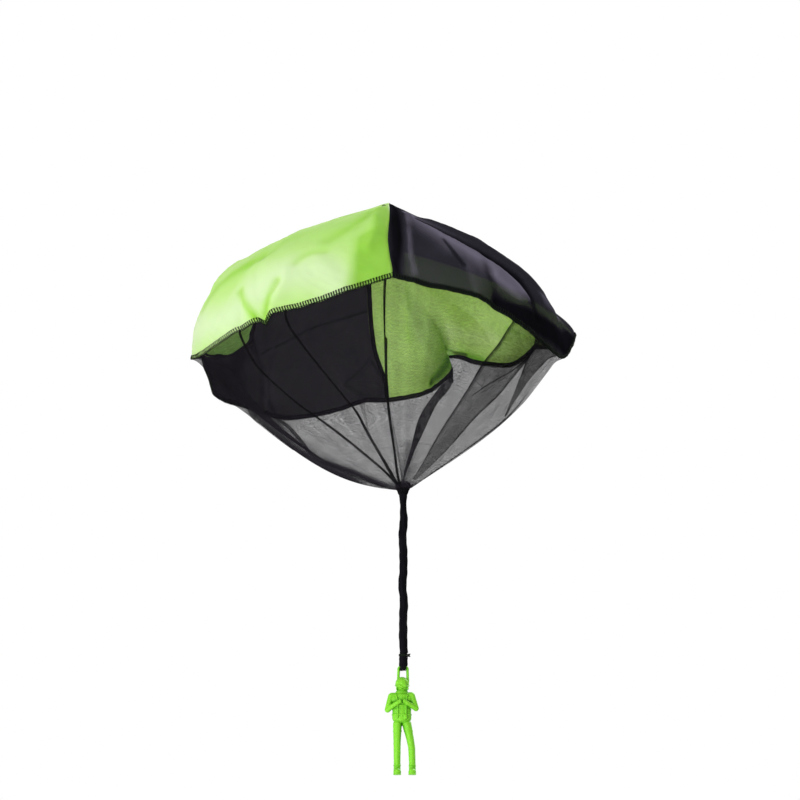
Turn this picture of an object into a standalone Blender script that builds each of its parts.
"""Toy parachute: a four-gore cloth canopy, a net skirt gathered into a tail, and a moulded skydiver.

Metres, +Z up. The origin is the crown of the canopy, where its four seams meet.
"""
import math

import bmesh
import bpy
from mathutils import Matrix, Vector

# Canopy. Reach is from the crown out to the hem in plan, drop from the crown down to the seams' ends.
CANOPY_REACH = 0.190
CANOPY_DROP = 0.1165
CLOTH_THICKNESS = 0.0006
CROWN_HOLE_RADIUS = 0.0015
CROWN_TACK_RADIUS = 0.0042
CROWN_TACK_TOP_RADIUS = 0.0029
CROWN_TACK_HEIGHT = 0.0012
SEAM_WIDTH = 0.0050
SEAM_THICKNESS = 0.0009
HEM_WIDTH = 0.0040
HEM_THICKNESS = 0.0012
SEWN_GAP = 0.0003

# Net skirt, from the hem down to the gather.
NET_THICKNESS = 0.0004
NET_SEAM_TOP_WIDTH = 0.0065
NET_SEAM_END_WIDTH = 0.0014
NET_SEAM_THICKNESS = 0.0005
NET_PLEAT_DEPTH = 0.0032
NET_BULGE = 0.014
NET_BULGE_RIGHT = 0.024
NET_POUCH_DEPTH = 0.024
GATHER_X = 0.0454
GATHER_Y = -0.0200
GATHER_BELOW_CROWN = 0.2583
GATHER_RING_RADIUS = 0.0048

# Gather knot and the net tail that hangs from it, cut into four lengths that bend at balls.
KNOT_RADIUS = 0.0066
KNOT_HEIGHT = 0.0092
KNOT_TIP_RADIUS = 0.0042
KNOT_TIP_DEPTH = 0.0007
TAIL_RADIUS = 0.0037
TAIL_BALL_RADIUS = 0.0030
TAIL_LUMP = 0.00022
TAIL_LENGTH = 0.1430
BALL_CLEARANCE = 0.0003

# Tail's end, tied into a loop round the figure's ring.
END_LENGTH = 0.0140
END_RADIUS = 0.0035
END_NECK_RADIUS = 0.0020
TIE_BELOW_BALL = 0.0034
TIE_THREAD_RADIUS = 0.0005
TIE_GROOVE_RADIUS = 0.0030
LOOP_WALL = 0.0012
LOOP_CLEARANCE = 0.0003

# Skydiver, one moulding that hangs by the bar of a ring on its helmet.
RING_WIRE_RADIUS = 0.0012
RING_HALF_WIDTH = 0.0039
RING_FOOT_HALF_WIDTH = 0.0042
RING_HEIGHT = 0.0084
RING_ROOT_DEPTH = 0.0048
RING_CORNER_RADIUS = 0.0017
FIGURE_HEIGHT = 0.0839
FIGURE_VOXEL = 0.00055

# Merge distance of turned solids, and how far a cutter runs past what it cuts.
MERGE_DISTANCE = 0.00001
CUT_OVERRUN = 0.002

# Counts.
GORE_ROWS = 10
NET_ROWS = 8
TAIL_PIECES = 4
PLEATS_PER_GORE = 3
ROUND_STEPS = 12
WIDTH_CHORDS = 8
FIGURE_SMOOTHINGS = 2

# Seams in order round the canopy: direction at the hem and further turn at the crown in degrees,
# reach and drop shares of the tidy dome, the power of its profile, and how much of its fall is a
# straight slope.
SEAM_shares = {
    "front": (-79.6, 9.6, 0.99, 1.00, 2.55, 0.00),
    "right": (-2.9, 16.0, 1.11, 0.87, 1.62, 0.08),
    "back": (79.4, 0.0, 0.77, 1.00, 2.0, 0.00),
    "left": (176.4, -10.0, 0.735, 0.96, 2.0, 0.12),
}

# Each gore: its seams, profile power and straight slope at its middle, columns, the tidy dome's rim and
# the hem as it hangs. Rows are shares: way along the hem, turn between the seams, reach, drop.
GORE_shares = {
    "front_right": ("front", "right", 2.05, 0.02, 20, (
        (0.00, 0.00, 0.99, 1.000), (0.25, 0.25, 1.03, 1.065), (0.50, 0.50, 1.07, 1.155),
        (0.78, 0.78, 1.12, 1.200), (1.00, 1.00, 1.11, 0.870)), (
        (0.00, 0.00, 0.99, 0.980), (0.12, 0.10, 1.01, 1.030), (0.24, 0.21, 1.03, 1.055),
        (0.38, 0.31, 1.05, 1.085), (0.52, 0.40, 1.06, 1.155), (0.66, 0.50, 1.08, 1.235),
        (0.78, 0.62, 1.085, 1.300), (0.88, 0.76, 1.08, 1.270), (0.94, 0.88, 1.09, 1.090),
        (1.00, 1.00, 1.11, 0.870))),
    "back_right": ("right", "back", 1.9, 0.00, 34, (
        (0.00, 0.00, 1.11, 0.870), (0.30, 0.30, 0.935, 0.960), (0.70, 0.70, 0.83, 0.925),
        (1.00, 1.00, 0.77, 1.000)), (
        (0.00, 0.00, 1.11, 0.870), (0.07, 0.10, 1.06, 0.890), (0.14, 0.205, 0.975, 0.800),
        (0.19, 0.26, 0.965, 0.810), (0.25, 0.32, 0.95, 0.835), (0.31, 0.39, 0.925, 0.840),
        (0.37, 0.47, 0.885, 0.790), (0.43, 0.57, 0.89, 0.710), (0.48, 0.66, 0.92, 0.610),
        (0.52, 0.72, 0.935, 0.570), (0.56, 0.755, 0.92, 0.580), (0.60, 0.745, 0.885, 0.630),
        (0.65, 0.70, 0.86, 0.680), (0.69, 0.665, 0.825, 0.760), (0.73, 0.655, 0.775, 0.860),
        (0.78, 0.68, 0.70, 0.985), (0.83, 0.735, 0.715, 1.000), (0.90, 0.83, 0.745, 1.000),
        (0.95, 0.92, 0.76, 1.000), (1.00, 1.00, 0.77, 1.000))),
    "back_left": ("back", "left", 2.0, 0.00, 24, (
        (0.00, 0.00, 0.77, 1.000), (0.40, 0.40, 0.75, 1.160), (0.75, 0.75, 0.77, 1.160),
        (1.00, 1.00, 0.735, 0.960)), (
        (0.00, 0.00, 0.77, 1.000), (0.10, 0.09, 0.76, 1.005), (0.20, 0.20, 0.755, 1.090),
        (0.32, 0.315, 0.74, 1.175), (0.44, 0.435, 0.715, 1.245), (0.52, 0.505, 0.715, 1.255),
        (0.56, 0.54, 0.735, 1.235), (0.60, 0.53, 0.775, 1.210), (0.65, 0.56, 0.785, 1.195),
        (0.75, 0.67, 0.775, 1.200), (0.84, 0.77, 0.775, 1.210), (0.89, 0.835, 0.785, 1.180),
        (0.94, 0.88, 0.785, 1.080), (1.00, 1.00, 0.80, 0.995))),
    "front_left": ("left", "front", 2.35, 0.22, 20, (
        (0.00, 0.00, 0.735, 0.960), (0.20, 0.20, 0.86, 1.160), (0.50, 0.50, 0.915, 1.270),
        (0.80, 0.80, 0.965, 1.115), (1.00, 1.00, 0.99, 1.000)), (
        (0.00, 0.00, 0.80, 0.995), (0.10, 0.18, 0.84, 1.170), (0.22, 0.34, 0.87, 1.295),
        (0.34, 0.47, 0.895, 1.305), (0.45, 0.58, 0.91, 1.255), (0.53, 0.64, 0.915, 1.230),
        (0.56, 0.66, 0.92, 1.260), (0.60, 0.685, 0.925, 1.200), (0.70, 0.77, 0.94, 1.175),
        (0.85, 0.875, 0.96, 1.115), (0.93, 0.935, 0.975, 1.050), (1.00, 1.00, 0.99, 0.980))),
}

# How soon the hem's folds die away going up the cloth, and down the net in turn and in reach, and how far
# down the last row of facets the seams' allowances end.
FOLD_FADE_share = 2.5
NET_TURN_FADE_share = 4.0
NET_REACH_FADE_share = 1.3
NET_ROW_SPREAD_share = 1.6
NET_BULGE_share = 0.8
FRONT_RIDGE_share = 0.10
SEAM_END_share = 0.90
SLOPE_STEP_share = 0.01

# Direction of the net's bundle round the gather for each seam, in whole turns, and where the pouch sags.
GATHER_TURN_shares = {"front": -0.2778, "right": -0.0278, "back": 0.2222, "left": 0.4722}
POUCH_GORE_shares = {"back_left": (0.95, 0.75), "front_left": (-0.05, 0.45)}
POUCH_ROW_share = 0.68

# Knot: how far round its side runs and how full it is. Tail: how full each length is, and its lumps.
KNOT_ROUND_share = 0.80
KNOT_FULL_share = 0.80
TAIL_FULL_share = 0.50
TAIL_LUMP_shares = (2.0, 0.37)

# Outline of the tail's end below its groove: radius as a share of the end's radius, place as one of the
# length left down to the loop.
END_shares = ((1.00, 0.12), (0.97, 0.45), (0.86, 0.75))

# Skydiver's limbs as ellipsoids in a row: place across, back and down from the helmet's top, then half
# size across, back and up, as shares of the figure's height.
LIMB_shares = {
    "helmet": ((-0.009, 0.000, 0.073, 0.072, 0.078, 0.073), (-0.007, -0.011, 0.112, 0.056, 0.062, 0.046)),
    "neck": ((-0.009, 0.006, 0.136, 0.050, 0.045, 0.040), (-0.013, 0.005, 0.175, 0.072, 0.046, 0.034)),
    "chest": ((-0.015, 0.000, 0.202, 0.093, 0.055, 0.040), (-0.015, 0.000, 0.302, 0.097, 0.056, 0.049)),
    "belly": ((-0.015, 0.000, 0.302, 0.097, 0.056, 0.049), (-0.013, 0.000, 0.432, 0.100, 0.056, 0.048)),
    "arm_left": (
        (-0.124, 0.000, 0.205, 0.036, 0.036, 0.036), (-0.163, -0.012, 0.342, 0.030, 0.030, 0.030),
        (-0.059, -0.064, 0.275, 0.022, 0.022, 0.022), (-0.033, -0.066, 0.260, 0.023, 0.018, 0.022)),
    "arm_right": (
        (0.090, 0.000, 0.197, 0.036, 0.036, 0.036), (0.135, -0.012, 0.328, 0.030, 0.030, 0.030),
        (0.038, -0.064, 0.273, 0.022, 0.022, 0.022), (0.016, -0.066, 0.258, 0.023, 0.018, 0.022)),
    "leg_left": (
        (-0.059, 0.000, 0.486, 0.046, 0.052, 0.043), (-0.062, -0.007, 0.643, 0.040, 0.043, 0.039),
        (-0.062, 0.003, 0.731, 0.036, 0.040, 0.036), (-0.062, 0.003, 0.893, 0.034, 0.036, 0.032)),
    "leg_right": (
        (0.038, 0.000, 0.486, 0.049, 0.052, 0.043), (0.070, -0.007, 0.625, 0.041, 0.043, 0.039),
        (0.089, 0.003, 0.724, 0.036, 0.040, 0.036), (0.095, 0.003, 0.893, 0.033, 0.036, 0.032)),
    "foot_left": ((-0.062, 0.012, 0.968, 0.038, 0.036, 0.040), (-0.061, -0.070, 0.975, 0.040, 0.036, 0.034)),
    "foot_right": ((0.095, 0.012, 0.968, 0.037, 0.036, 0.040), (0.093, -0.070, 0.975, 0.040, 0.036, 0.034)),
    "back_pack": ((-0.013, 0.054, 0.232, 0.066, 0.032, 0.032), (-0.013, 0.056, 0.348, 0.066, 0.032, 0.032)),
    "belt_pack": ((0.024, -0.057, 0.405, 0.021, 0.014, 0.015), (0.024, -0.057, 0.430, 0.021, 0.014, 0.015)),
}
FIGURE_DETAIL_share = 0.075

COLOURS = {
    "green_cloth": ((0.46, 0.86, 0.22, 1.0), 0.62),
    "black_cloth": ((0.022, 0.020, 0.030, 1.0), 0.50),
    "hem_thread": ((0.025, 0.035, 0.025, 1.0), 0.80),
    "black_net": ((0.020, 0.018, 0.024, 1.0), 0.75),
    "green_plastic": ((0.17, 0.72, 0.02, 1.0), 0.32),
}
GORE_CLOTH = {
    "front_left": "green_cloth",
    "front_right": "black_cloth",
    "back_right": "green_cloth",
    "back_left": "black_cloth",
}


def clear_scene():
    """Remove every object, so the file builds the same model wherever it is run."""
    for obj in list(bpy.data.objects):
        bpy.data.objects.remove(obj, do_unlink=True)


def make_materials():
    """One Principled material for each colour of cloth, thread, net and plastic."""
    materials = {}
    for name, (colour, roughness) in COLOURS.items():
        material = bpy.data.materials.new(name)
        material.use_nodes = True
        shader = material.node_tree.nodes["Principled BSDF"]
        shader.inputs["Base Color"].default_value = colour
        shader.inputs["Roughness"].default_value = roughness
        shader.inputs["Metallic"].default_value = 0.0
        material.diffuse_color = colour
        materials[name] = material
    return materials


def mix(a, b, share):
    """Blend from a to b."""
    return a + (b - a) * share


def along(rows, way, column):
    """Smooth curve through one column of a table whose first column is the way along."""
    count = len(rows)
    k = 0
    while k < count - 2 and way > rows[k + 1][0]:
        k += 1

    def slope(i):
        low = max(i - 1, 0)
        high = min(i + 1, count - 1)
        return (rows[high][column] - rows[low][column]) / (rows[high][0] - rows[low][0])

    step = rows[k + 1][0] - rows[k][0]
    w = (way - rows[k][0]) / step
    a, b = rows[k][column], rows[k + 1][column]
    rise_a, rise_b = slope(k) * step, slope(k + 1) * step
    return (
        (2 * w**3 - 3 * w**2 + 1) * a
        + (w**3 - 2 * w**2 + w) * rise_a
        + (3 * w**2 - 2 * w**3) * b
        + (w**3 - w**2) * rise_b
    )


def straight_slope(gore, way):
    """How much of the dome's fall is a straight slope rather than a round profile."""
    first, last, _, middle = GORE_shares[gore][:4]
    between = mix(SEAM_shares[first][5], SEAM_shares[last][5], way)
    return mix(between, middle, math.sin(math.pi * way))


def profile_power(gore, way):
    """How boxy the dome's profile is: highest on the front seam, which stands up as a ridge."""
    first, last, middle = GORE_shares[gore][:3]
    ends = []
    for seam in (first, last):
        ends.append(middle if seam == "front" else SEAM_shares[seam][4])
    power = mix(mix(ends[0], ends[1], way), middle, math.sin(math.pi * way))
    ridge = SEAM_shares["front"][4] - middle
    if first == "front":
        power += ridge * math.exp(-way / FRONT_RIDGE_share)
    if last == "front":
        power += ridge * math.exp(-(1 - way) / FRONT_RIDGE_share)
    return power


def canopy_point(gore, way, down):
    """Point of the cloth's middle surface: way runs between the gore's seams, down from crown to hem."""
    first, last, _, _, _, dome, hem = GORE_shares[gore]
    start, start_turn = SEAM_shares[first][:2]
    end, end_turn = SEAM_shares[last][:2]
    if end < start:
        end += 360
    out = math.sin(down * math.pi / 2)
    power = profile_power(gore, way)
    fall = mix(1 - (1 - min(out, 1.0) ** power) ** (1 / power), out, straight_slope(gore, way))
    fold = down**FOLD_FADE_share
    turn = mix(along(dome, way, 1), along(hem, way, 1), fold)
    angle = math.radians(mix(start, end, turn) + mix(start_turn, end_turn, way) * (1 - down))
    dome_reach, dome_drop = along(dome, way, 2), along(dome, way, 3)
    reach = dome_reach * out + (along(hem, way, 2) - dome_reach) * fold
    drop = dome_drop * fall + (along(hem, way, 3) - dome_drop) * fold
    return Vector((
        CANOPY_REACH * reach * math.cos(angle),
        CANOPY_REACH * reach * math.sin(angle),
        -CANOPY_DROP * drop,
    ))


def hem_point(gore, way, below):
    """Point that continues the cloth straight past its hem by a given length."""
    edge = canopy_point(gore, way, 1.0)
    slope = edge - canopy_point(gore, way, 1 - 1 / GORE_ROWS)
    return edge + slope.normalized() * below


def angle_between(gore, way, turns):
    """Direction part of the way round a gore, from a table of its seams' directions in whole turns."""
    first, last = GORE_shares[gore][:2]
    start, end = turns[first], turns[last]
    if end < start:
        end += 1
    return 2 * math.pi * mix(start, end, way)


def net_rim(gore, way, down):
    """Upper end of the net's lines: the hem as it hangs, let out towards the tidy rim further down."""
    top = hem_point(gore, way, HEM_WIDTH + 5 * SEWN_GAP)
    dome = GORE_shares[gore][5]
    seams = {seam: shares[0] / 360 for seam, shares in SEAM_shares.items()}
    angle = angle_between(gore, along(dome, way, 1), seams)
    turned_by = math.remainder(math.atan2(top.y, top.x) - angle, 2 * math.pi)
    angle += turned_by * (1 - down) ** NET_TURN_FADE_share
    tidy = CANOPY_REACH * along(dome, way, 2)
    reach = mix(tidy, top.xy.length, (1 - down) ** NET_REACH_FADE_share)
    height = mix(-CANOPY_DROP * along(dome, way, 3), top.z, (1 - down) ** NET_TURN_FADE_share)
    return Vector((reach * math.cos(angle), reach * math.sin(angle), height))


def net_point(gore, way, down):
    """Point of the net's middle surface, from just under the hem band to the gather."""
    angle = angle_between(gore, way, GATHER_TURN_shares)
    outward = Vector((math.cos(angle), math.sin(angle), 0))
    gather = Vector((GATHER_X, GATHER_Y, -GATHER_BELOW_CROWN + KNOT_HEIGHT / 2 + SEWN_GAP))
    point = net_rim(gore, way, down).lerp(gather + outward * GATHER_RING_RADIUS, down)
    pleat = math.sin(2 * math.pi * PLEATS_PER_GORE * way) * math.sin(math.pi * down)
    full = mix(NET_BULGE, NET_BULGE_RIGHT, ((1 + outward.x) / 2) ** 2)
    bulge = full * math.sin(math.pi * down**NET_BULGE_share)
    point += outward * (NET_PLEAT_DEPTH * pleat * down + bulge)
    if gore in POUCH_GORE_shares:
        centre, width = POUCH_GORE_shares[gore]
        spread = max(0.0, 1 - ((way - centre) / width) ** 2)
        bend = math.log(0.5) / math.log(POUCH_ROW_share)
        point.z -= NET_POUCH_DEPTH * spread**2 * math.sin(math.pi * down**bend)
    return point


def add_object(name, mesh, collection, material):
    """Put a mesh into the scene as one named sub-part."""
    mesh.materials.clear()
    mesh.materials.append(material)
    obj = bpy.data.objects.new(name, mesh)
    collection.objects.link(obj)
    return obj


def sheet(name, place, columns, rows, thickness, collection, material):
    """A grid laid out by a function of the shares across and down, thickened to a closed sheet."""
    bm = bmesh.new()
    bmesh.ops.create_grid(bm, x_segments=columns, y_segments=rows, size=1)
    for vertex in bm.verts:
        vertex.co = place((1 + vertex.co.x) / 2, (1 - vertex.co.y) / 2)
    mesh = bpy.data.meshes.new(name)
    bm.to_mesh(mesh)
    bm.free()
    mesh.shade_smooth()
    obj = add_object(name, mesh, collection, material)
    solidify = obj.modifiers.new("Thickness", "SOLIDIFY")
    solidify.thickness = thickness
    solidify.offset = 0
    return obj


def inset_way(gore, way, width_at):
    """Way along a gore, kept a sewn gap short of both seams whatever the gore's width there."""
    margin = SEWN_GAP / width_at
    return mix(margin, 1 - margin, way)


def row_width(gore, point, down):
    """Length of one row of a sheet, measured in chords."""
    places = [point(gore, k / WIDTH_CHORDS, down) for k in range(WIDTH_CHORDS + 1)]
    return sum((b - a).length for a, b in zip(places, places[1:]))


def crown_row():
    """Row share at which the gores begin, round the small hole at the crown."""
    return math.asin(CROWN_HOLE_RADIUS / CANOPY_REACH) * 2 / math.pi


def make_gores(collection, materials):
    """The four cloth gores, each a grid from the crown to the hem."""
    for gore, (_, _, _, _, columns, _, _) in GORE_shares.items():
        def place(across, down):
            row = mix(crown_row(), 1.0, down)
            way = inset_way(gore, across, row_width(gore, canopy_point, row))
            return canopy_point(gore, way, row)

        material = materials[GORE_CLOTH[gore]]
        sheet(f"canopy_gore_{gore}", place, columns, GORE_ROWS, CLOTH_THICKNESS, collection, material)


def make_hems(collection, materials):
    """The overlocked edge of each gore, a thicker band below the cloth."""
    for gore, (_, _, _, _, columns, _, _) in GORE_shares.items():
        width = row_width(gore, canopy_point, 1.0)

        def place(across, down):
            way = inset_way(gore, across, width)
            return hem_point(gore, way, 2 * SEWN_GAP + HEM_WIDTH * down)

        name = f"hem_binding_{gore}"
        sheet(name, place, columns, 1, HEM_THICKNESS, collection, materials["hem_thread"])


def beside_seam(seam, side, width, row, point):
    """Place on the facets next to a seam, and the sheet's outward direction there."""
    for gore, (first, last, _, _, columns, _, _) in GORE_shares.items():
        on_gore = first == seam if side > 0 else last == seam
        if not on_gore:
            continue
        edge, next_column = (0.0, 1 / columns) if side > 0 else (1.0, 1 - 1 / columns)
        start = point(gore, edge, row)
        across = (point(gore, next_column, row) - start).normalized()
        above = point(gore, edge, max(row - SLOPE_STEP_share, 0.0))
        down = point(gore, edge, min(row + SLOPE_STEP_share, 1.0)) - above
        return start + across * width, (down.cross(across) * side).normalized()
    raise ValueError(seam)


def seam_strip(name, seam, width_at, rows, end, row_at, depth, thickness, point, collection, material):
    """A narrow strip along a seam, kept off the sheet's facets by a depth, inward if negative."""
    def on_row(across, down):
        row = row_at(down)
        width = width_at(row) / 2
        ahead, ahead_normal = beside_seam(seam, 1, width, row, point)
        behind, behind_normal = beside_seam(seam, -1, width, row, point)
        if across > 0.75:
            return ahead + ahead_normal * depth
        if across < 0.25:
            return behind + behind_normal * depth
        middle = beside_seam(seam, 1, 0.0, row, point)[0]
        return middle + (ahead_normal + behind_normal).normalized() * depth

    def place(across, down):
        last_but_one = 1 - 1 / rows
        if down < (1 + last_but_one) / 2:
            return on_row(across, down)
        return on_row(across, last_but_one).lerp(on_row(across, 1.0), end)

    sheet(name, place, 2, rows, thickness, collection, material)


def make_seams(collection, materials):
    """The turned-in allowance of each seam, a narrow strip on the inner side of the cloth."""
    depth = (CLOTH_THICKNESS + SEAM_THICKNESS) / 2 + SEWN_GAP
    first_row = mix(crown_row(), 1.0, 1 / GORE_ROWS)
    for seam in SEAM_shares:
        seam_strip(
            f"canopy_seam_{seam}", seam, lambda row: SEAM_WIDTH, GORE_ROWS - 1, SEAM_END_share,
            lambda down: mix(first_row, 1.0, down), -depth, SEAM_THICKNESS, canopy_point,
            collection, materials["black_cloth"],
        )


def make_crown_tack(collection, materials):
    """The small stitched patch that closes the middle of the canopy from inside."""
    bm = bmesh.new()
    bmesh.ops.create_cone(
        bm, cap_ends=True, segments=ROUND_STEPS, depth=CROWN_TACK_HEIGHT,
        radius1=CROWN_TACK_RADIUS, radius2=CROWN_TACK_TOP_RADIUS,
    )
    mesh = bpy.data.meshes.new("crown_tack")
    bm.to_mesh(mesh)
    bm.free()
    obj = add_object("crown_tack", mesh, collection, materials["black_cloth"])
    edge = canopy_point("front_right", 1.0, CROWN_TACK_RADIUS / CANOPY_REACH * 2 / math.pi)
    top = edge.z - CLOTH_THICKNESS / 2 - SEWN_GAP
    obj.location.z = top - CROWN_TACK_HEIGHT / 2


def net_seam_width(row):
    """Width of the doubled strip, which narrows quickly below the hem."""
    return mix(NET_SEAM_TOP_WIDTH, NET_SEAM_END_WIDTH, math.sqrt(row))


def make_net(collection, materials):
    """The four net panels and the doubled strips where they are sewn together."""
    for gore, (_, _, _, _, columns, _, _) in GORE_shares.items():
        def place(across, down):
            row = down**NET_ROW_SPREAD_share
            way = inset_way(gore, across, row_width(gore, net_point, row))
            return net_point(gore, way, row)

        name = f"net_panel_{gore}"
        sheet(name, place, columns, NET_ROWS, NET_THICKNESS, collection, materials["black_net"])
    depth = (NET_THICKNESS + NET_SEAM_THICKNESS) / 2 + SEWN_GAP
    for seam in SEAM_shares:
        seam_strip(
            f"net_seam_{seam}", seam, net_seam_width, NET_ROWS, 1.0,
            lambda down: down**NET_ROW_SPREAD_share, depth, NET_SEAM_THICKNESS, net_point,
            collection, materials["black_net"],
        )


def turned(name, profile, collection, material):
    """A solid turned about its own Z axis from a profile that runs down its outer side."""
    mesh = bpy.data.meshes.new(name)
    points = [(radius, 0.0, height) for radius, height in profile]
    edges = [(k, k + 1) for k in range(len(points) - 1)]
    mesh.from_pydata(points, edges, [])
    obj = add_object(name, mesh, collection, material)
    screw = obj.modifiers.new("Turn", "SCREW")
    screw.steps = ROUND_STEPS
    screw.render_steps = ROUND_STEPS
    screw.use_merge_vertices = True
    screw.merge_threshold = MERGE_DISTANCE
    screw.use_smooth_shade = True
    return obj


def ball_top(radius, steps=3):
    """Profile of a half ball, from its pole to its equator at height zero."""
    angles = [math.pi / 2 * k / steps for k in range(steps + 1)]
    return [(radius * math.sin(a), radius * math.cos(a)) for a in angles]


def socket(height, rim_radius, steps=3):
    """Profile of a hollow that clears the next ball, from its rim up to the axis."""
    radius = TAIL_BALL_RADIUS + BALL_CLEARANCE
    rim = math.asin(rim_radius / radius)
    angles = [rim * (1 - k / steps) for k in range(steps + 1)]
    return [(radius * math.sin(a), height + radius * math.cos(a)) for a in angles]


def rim_drop():
    """How far below a ball's middle the rim of its socket lies."""
    return math.sqrt((TAIL_BALL_RADIUS + BALL_CLEARANCE) ** 2 - TAIL_BALL_RADIUS**2)


def make_knot(collection, materials):
    """The knot in the gathered net, a lumpy ball with a short neck and a socket for the tail."""
    half = KNOT_HEIGHT / 2
    steps = 5
    profile = [(0.0, half)]
    for k in range(1, steps + 1):
        angle = math.pi * KNOT_ROUND_share * k / steps
        profile.append((KNOT_RADIUS * math.sin(angle) ** KNOT_FULL_share, half * math.cos(angle)))
    profile.append((KNOT_TIP_RADIUS, -half - BALL_CLEARANCE))
    profile.append((KNOT_TIP_RADIUS, -half - KNOT_TIP_DEPTH))
    profile.append((TAIL_BALL_RADIUS, -half - KNOT_TIP_DEPTH))
    profile += socket(tail_top() + GATHER_BELOW_CROWN, TAIL_BALL_RADIUS)[1:]
    obj = turned("gather_knot", profile, collection, materials["black_net"])
    obj.location = (GATHER_X, GATHER_Y, -GATHER_BELOW_CROWN)


def tail_top():
    """Height of the first ball of the tail."""
    return -GATHER_BELOW_CROWN - KNOT_HEIGHT / 2 - KNOT_TIP_DEPTH - rim_drop()


def make_tail(collection, materials):
    """The four lengths of gathered net, each with a ball above and a socket below."""
    length = TAIL_LENGTH / TAIL_PIECES
    body = length - rim_drop()
    lumps, shift = TAIL_LUMP_shares
    steps = 8
    for number in range(TAIL_PIECES):
        profile = ball_top(TAIL_BALL_RADIUS)
        for k in range(1, steps):
            share = k / steps
            swell = math.sin(math.pi * share) ** TAIL_FULL_share
            lump = TAIL_LUMP * math.cos(2 * math.pi * (lumps * share + shift * number))
            profile.append((mix(TAIL_BALL_RADIUS, TAIL_RADIUS + lump, swell), -body * share))
        profile += socket(-length, TAIL_BALL_RADIUS)
        obj = turned(f"tail_bundle_{number + 1}", profile, collection, materials["black_net"])
        obj.location = (GATHER_X, GATHER_Y, tail_top() - length * number)


def ring_bar():
    """Middle of the ring's bar, the axis on which the figure swings."""
    return Vector((GATHER_X, GATHER_Y, tail_top() - TAIL_LENGTH - END_LENGTH))


def rod_along_x(name, radius, length, centre, cutters):
    """A round rod along X for cutting or joining, kept out of the model."""
    bm = bmesh.new()
    bmesh.ops.create_cone(
        bm, cap_ends=True, segments=ROUND_STEPS * 2, depth=length, radius1=radius, radius2=radius,
        matrix=Matrix.Rotation(math.pi / 2, 4, "Y"),
    )
    mesh = bpy.data.meshes.new(name)
    bm.to_mesh(mesh)
    bm.free()
    rod = bpy.data.objects.new(name, mesh)
    cutters.objects.link(rod)
    rod.location = centre
    rod.hide_render = True
    rod.display_type = "WIRE"
    return rod


def combine(obj, operation, other):
    """Join another solid to this one, or cut it away."""
    boolean = obj.modifiers.new(other.name, "BOOLEAN")
    boolean.operation = operation
    boolean.solver = "EXACT"
    boolean.object = other


def make_tail_end(collection, cutters, materials):
    """The last of the net, bound with thread and turned into a loop round the ring's bar."""
    top = Vector((GATHER_X, GATHER_Y, tail_top() - TAIL_LENGTH))
    hole = RING_WIRE_RADIUS + LOOP_CLEARANCE
    wall_top = END_LENGTH - hole - LOOP_WALL
    groove_end = TIE_BELOW_BALL + TIE_THREAD_RADIUS
    profile = ball_top(TAIL_BALL_RADIUS)
    profile.append((END_RADIUS, -TIE_BELOW_BALL / 2))
    profile.append((TIE_GROOVE_RADIUS, -TIE_BELOW_BALL + TIE_THREAD_RADIUS))
    profile.append((TIE_GROOVE_RADIUS, -groove_end))
    for radius, place in END_shares:
        profile.append((END_RADIUS * radius, -mix(groove_end, wall_top, place)))
    profile.append((END_NECK_RADIUS, -wall_top - LOOP_WALL / 2))
    profile.append((0.0, -wall_top - LOOP_WALL / 2))
    end = turned("tail_end_loop", profile, collection, materials["black_net"])
    end.location = top
    width = 2 * (RING_HALF_WIDTH - RING_WIRE_RADIUS - LOOP_CLEARANCE)
    loop = rod_along_x("loop_wall", hole + LOOP_WALL, width, ring_bar(), cutters)
    combine(end, "UNION", loop)
    combine(end, "DIFFERENCE", rod_along_x("loop_hole", hole, width + CUT_OVERRUN, ring_bar(), cutters))

    bpy.ops.mesh.primitive_torus_add(
        major_radius=TIE_GROOVE_RADIUS + TIE_THREAD_RADIUS + SEWN_GAP, minor_radius=TIE_THREAD_RADIUS,
        major_segments=ROUND_STEPS * 2, minor_segments=ROUND_STEPS // 2,
        location=(top.x, top.y, top.z - TIE_BELOW_BALL),
    )
    tie = bpy.context.object
    tie.name = "tail_tie_thread"
    tie.data.materials.append(materials["hem_thread"])
    for home in list(tie.users_collection):
        home.objects.unlink(tie)
    collection.objects.link(tie)


def add_limb(bm, stations):
    """One limb: each pair of neighbouring ellipsoids, wrapped together."""
    for pair in zip(stations, stations[1:]):
        verts = []
        for across, back, down, *half in pair:
            place = Matrix.Translation(FIGURE_HEIGHT * Vector((across, back, -down)))
            size = Matrix.Diagonal((*(FIGURE_HEIGHT * share for share in half), 1))
            made = bmesh.ops.create_uvsphere(
                bm, u_segments=ROUND_STEPS, v_segments=ROUND_STEPS // 2, radius=1, matrix=place @ size,
            )
            verts += made["verts"]
        wrapped = bmesh.ops.convex_hull(bm, input=verts)
        loose = wrapped["geom_interior"] + wrapped["geom_unused"]
        inside = {piece for piece in loose if isinstance(piece, bmesh.types.BMVert)}
        bmesh.ops.delete(bm, geom=list(inside), context="VERTS")


def ring_path():
    """The ring's wire, up one side, over the bar at height zero and down the other."""
    foot = -RING_HEIGHT - RING_ROOT_DEPTH
    steps = 3
    side = [(RING_FOOT_HALF_WIDTH, foot)]
    for k in range(steps + 1):
        angle = math.pi / 2 * k / steps
        across = RING_HALF_WIDTH - RING_CORNER_RADIUS * (1 - math.cos(angle))
        side.append((across, RING_CORNER_RADIUS * (math.sin(angle) - 1)))
    return side + [(-across, height) for across, height in reversed(side)]


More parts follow.
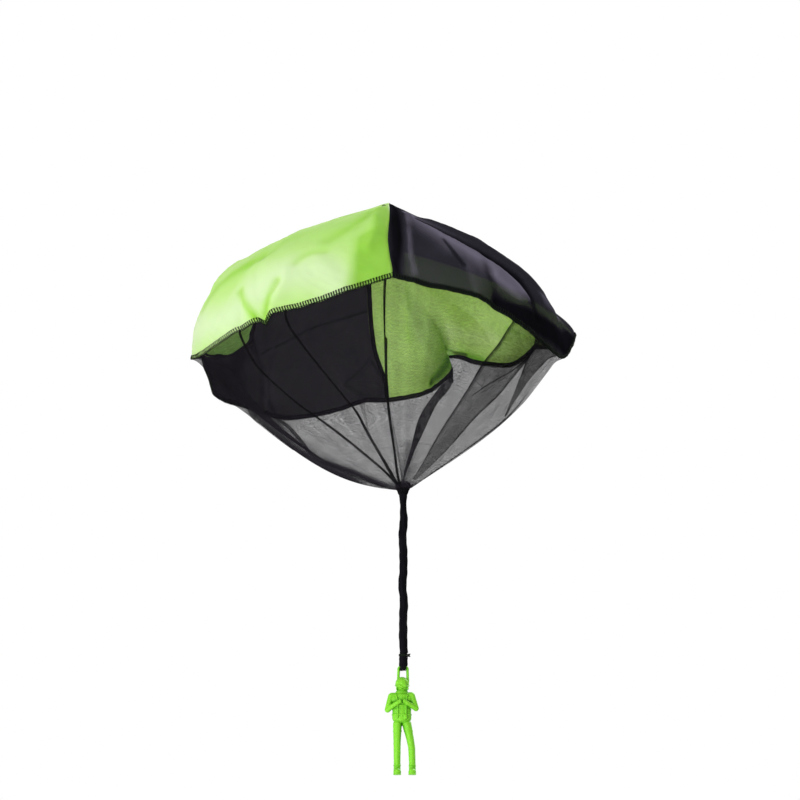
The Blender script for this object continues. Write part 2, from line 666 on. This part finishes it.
def make_ring(cutters):
    """The helmet's wire ring as a mesh, ready to be joined to the figure."""
    curve = bpy.data.curves.new("helmet_ring", "CURVE")
    curve.dimensions = "3D"
    curve.bevel_depth = RING_WIRE_RADIUS
    curve.bevel_resolution = 1
    curve.use_fill_caps = True
    path = ring_path()
    spline = curve.splines.new("POLY")
    spline.points.add(len(path) - 1)
    for point, (across, height) in zip(spline.points, path):
        point.co = (across, 0.0, height, 1.0)
    wire = bpy.data.objects.new("helmet_ring_wire", curve)
    cutters.objects.link(wire)
    wire.location = ring_bar()
    bpy.context.view_layer.update()
    evaluated = wire.evaluated_get(bpy.context.evaluated_depsgraph_get())
    mesh = bpy.data.meshes.new_from_object(evaluated)
    bm = bmesh.new()
    bm.from_mesh(mesh)
    bmesh.ops.remove_doubles(bm, verts=bm.verts, dist=MERGE_DISTANCE)
    bm.to_mesh(mesh)
    bm.free()
    ring = bpy.data.objects.new("helmet_ring", mesh)
    cutters.objects.link(ring)
    ring.matrix_world = wire.matrix_world.copy()
    ring.hide_render = True
    ring.display_type = "WIRE"
    bpy.data.objects.remove(wire, do_unlink=True)
    return ring


def make_skydiver(collection, cutters, materials):
    """The moulded figure with bent arms, its soles cut flat and the ring on its helmet."""
    bm = bmesh.new()
    for stations in LIMB_shares.values():
        add_limb(bm, stations)
    bmesh.ops.translate(bm, verts=bm.verts, vec=(0.0, 0.0, -RING_HEIGHT))
    mesh = bpy.data.meshes.new("skydiver_figure")
    bm.to_mesh(mesh)
    bm.free()
    figure = add_object("skydiver_figure", mesh, collection, materials["green_plastic"])
    figure.location = ring_bar()
    remesh = figure.modifiers.new("Mould", "REMESH")
    remesh.mode = "VOXEL"
    remesh.voxel_size = FIGURE_VOXEL
    remesh.use_smooth_shade = True
    smooth = figure.modifiers.new("Soften", "SMOOTH")
    smooth.iterations = FIGURE_SMOOTHINGS
    thin = figure.modifiers.new("Thin", "DECIMATE")
    thin.ratio = FIGURE_DETAIL_share
    combine(figure, "UNION", make_ring(cutters))

    bm = bmesh.new()
    bmesh.ops.create_cube(bm, size=FIGURE_HEIGHT)
    block_mesh = bpy.data.meshes.new("sole_block")
    bm.to_mesh(block_mesh)
    bm.free()
    block = bpy.data.objects.new("sole_block", block_mesh)
    cutters.objects.link(block)
    below = RING_HEIGHT + FIGURE_HEIGHT + FIGURE_HEIGHT / 2
    block.location = ring_bar() - Vector((0.0, 0.0, below))
    block.hide_render = True
    block.display_type = "WIRE"
    combine(figure, "DIFFERENCE", block)


def main():
    clear_scene()
    parts = bpy.data.collections.new("toy_parachute")
    cutters = bpy.data.collections.new("cutters")
    for collection in (parts, cutters):
        bpy.context.scene.collection.children.link(collection)
    materials = make_materials()
    make_gores(parts, materials)
    make_hems(parts, materials)
    make_seams(parts, materials)
    make_crown_tack(parts, materials)
    make_net(parts, materials)
    make_knot(parts, materials)
    make_tail(parts, materials)
    make_tail_end(parts, cutters, materials)
    make_skydiver(parts, cutters, materials)


main()
